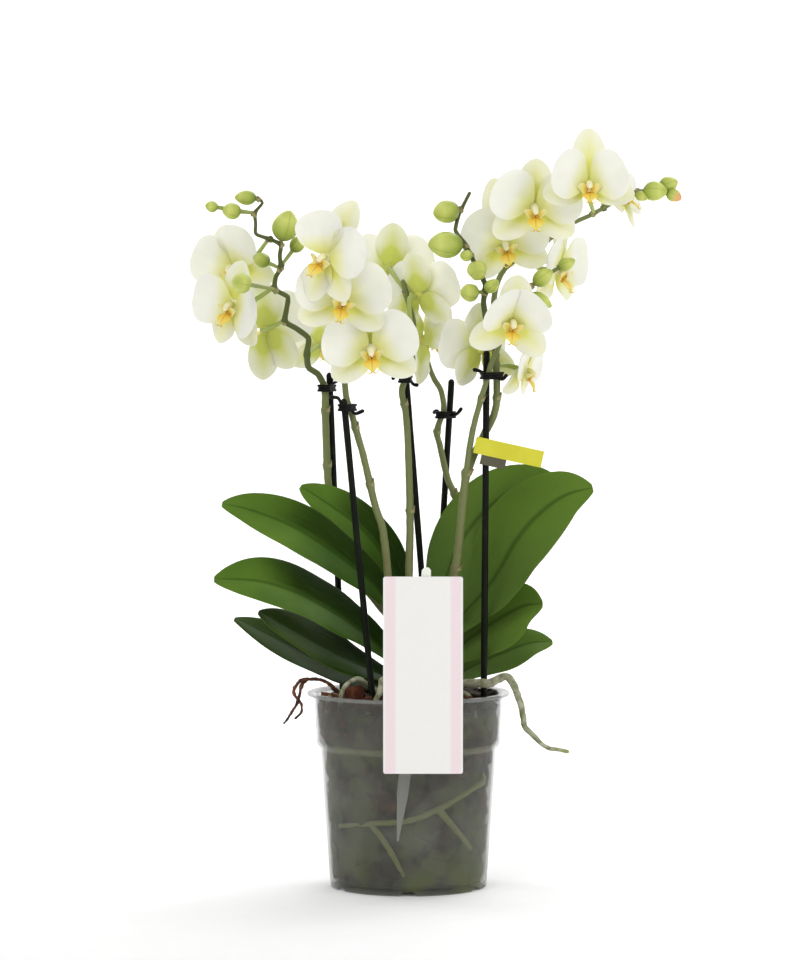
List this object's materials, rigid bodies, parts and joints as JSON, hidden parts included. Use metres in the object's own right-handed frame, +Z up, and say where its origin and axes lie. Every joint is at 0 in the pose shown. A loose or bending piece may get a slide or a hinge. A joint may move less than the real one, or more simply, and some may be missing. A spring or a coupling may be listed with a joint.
{
  "type": "potted moth orchid",
  "caption": "Moth orchid in a smoky plastic nursery pot with bark and roots; white flower spikes clipped to thin stakes, strap leaves, a plant tag and a yellow strap label.",
  "frame": {"origin": "middle of the pot's underside, on the plane it stands on", "axes": "+Z up along the pot's axis; the front, where the card hangs and most blooms face, looks along -Y; +X is the viewer's right"},
  "size_m": [0.2904, 0.1421, 0.4473],
  "materials": {
    "smoky_plastic": "thin smoky translucent plastic, moulded, glossy",
    "bark": "rough chipped bark, dry and fibrous",
    "root": null,
    "dry_root": "dried shrivelled root, brown and wrinkled",
    "stem": null,
    "leaf": null,
    "stake": "black coated stake, slightly glossy",
    "spike": null,
    "tepal": null,
    "lip": null,
    "clip": "black moulded plastic",
    "card": "smooth printed card, white with pale pink bands",
    "clear_plastic": "clear moulded plastic, faintly frosted",
    "label": "thin yellow plastic strap, satin"
  },
  "bodies": {
    "root": {"pot": "smoky_plastic", "bark": "bark", "roots": "root", "aerial_root": "root", "dried_roots": "dry_root", "stem": "stem", "leaf_left_1": "leaf", "leaf_left_2": "leaf", "leaf_left_3": "leaf", "leaf_left_4": "leaf", "leaf_left_5": "leaf", "leaf_right_1": "leaf", "leaf_right_2": "leaf", "leaf_right_3": "leaf", "leaf_right_4": "leaf", "stake_back_right": "stake", "stake_far_left": "stake", "stake_front_left": "stake", "stake_front_right": "stake", "stake_middle": "stake", "spike_back_right": "spike", "spike_far_left": "spike", "spike_front_left": "spike", "spike_front_right": "spike", "spike_middle": "spike", "bloom_front_1": "tepal", "bloom_front_2": "tepal", "bloom_front_3": "tepal", "bloom_left_1": "tepal", "bloom_left_2": "tepal", "bloom_left_3": "tepal", "bloom_left_4": "tepal", "bloom_middle_1": "tepal", "bloom_middle_2": "tepal", "bloom_middle_3": "tepal", "bloom_right_1": "tepal", "bloom_right_2": "tepal", "bloom_right_3": "tepal", "bloom_right_4": "tepal", "bloom_right_5": "tepal", "bloom_right_6": "tepal", "bloom_right_7": "tepal", "bloom_right_8": "tepal", "lip_front_1": "lip", "lip_front_2": "lip", "lip_front_3": "lip", "lip_left_2": "lip", "lip_right_1": "lip", "lip_right_2": "lip", "lip_right_3": "lip", "lip_right_5": "lip", "lip_right_6": "lip", "clip_back_right": "clip", "clip_far_left": "clip", "clip_front_left": "clip", "clip_front_right": "clip", "clip_middle": "clip", "tag_card": "card", "tag_stick": "clear_plastic", "label": "label"}
  },
  "joints": []
}
